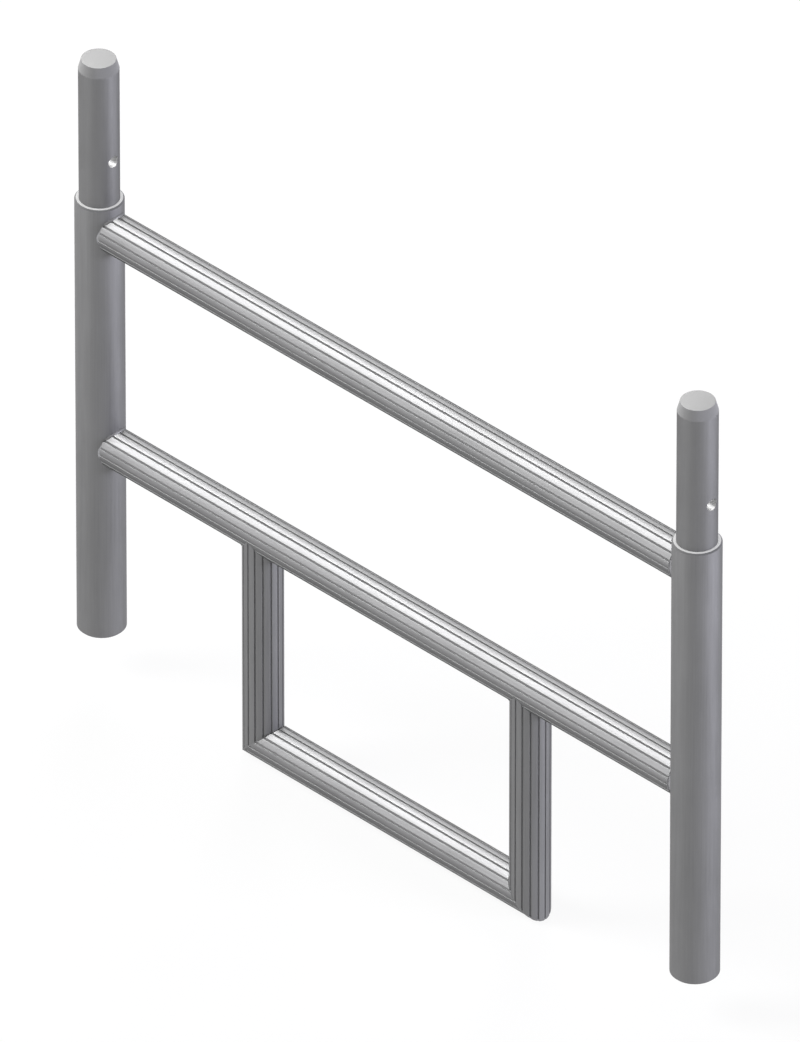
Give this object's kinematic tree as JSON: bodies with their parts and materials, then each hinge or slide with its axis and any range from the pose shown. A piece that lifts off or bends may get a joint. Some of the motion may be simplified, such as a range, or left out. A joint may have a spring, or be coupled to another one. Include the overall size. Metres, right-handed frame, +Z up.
{
  "type": "scaffold tower end frame",
  "caption": "Half-height welded aluminium end frame with spigotted round posts, ribbed round rails and a hanging ribbed U-shaped step.",
  "frame": {"origin": "midway between the two posts, at the plane of their open lower ends, where the frame below holds the part", "axes": "+X along the rails to the right post, +Y to the rear face that carries the rivets, +Z up along the posts"},
  "size_m": [0.8482, 0.0508, 0.703],
  "materials": {
    "post_tube": "drawn tube, satin mill finish",
    "spigot_bar": "turned bar, satin",
    "ribbed_tube": "extruded with sixteen lengthwise grooves, bright satin",
    "weld": "rippled weld bead, matt",
    "rivet": "pressed, satin"
  },
  "bodies": {
    "root": {"left_post": "post_tube", "right_post": "post_tube", "left_spigot": "spigot_bar", "right_spigot": "spigot_bar", "upper_rail": "ribbed_tube", "lower_rail": "ribbed_tube", "left_step_leg": "ribbed_tube", "right_step_leg": "ribbed_tube", "step_bar": "ribbed_tube", "upper_rail_left_top_weld": "weld", "upper_rail_left_bottom_weld": "weld", "upper_rail_right_top_weld": "weld", "upper_rail_right_bottom_weld": "weld", "lower_rail_left_top_weld": "weld", "lower_rail_left_bottom_weld": "weld", "lower_rail_right_top_weld": "weld", "lower_rail_right_bottom_weld": "weld", "left_leg_left_weld": "weld", "left_leg_right_weld": "weld", "right_leg_left_weld": "weld", "right_leg_right_weld": "weld", "left_corner_weld": "weld", "right_corner_weld": "weld", "left_spigot_upper_rivet": "rivet", "left_spigot_lower_rivet": "rivet", "right_spigot_upper_rivet": "rivet", "right_spigot_lower_rivet": "rivet"}
  },
  "joints": []
}
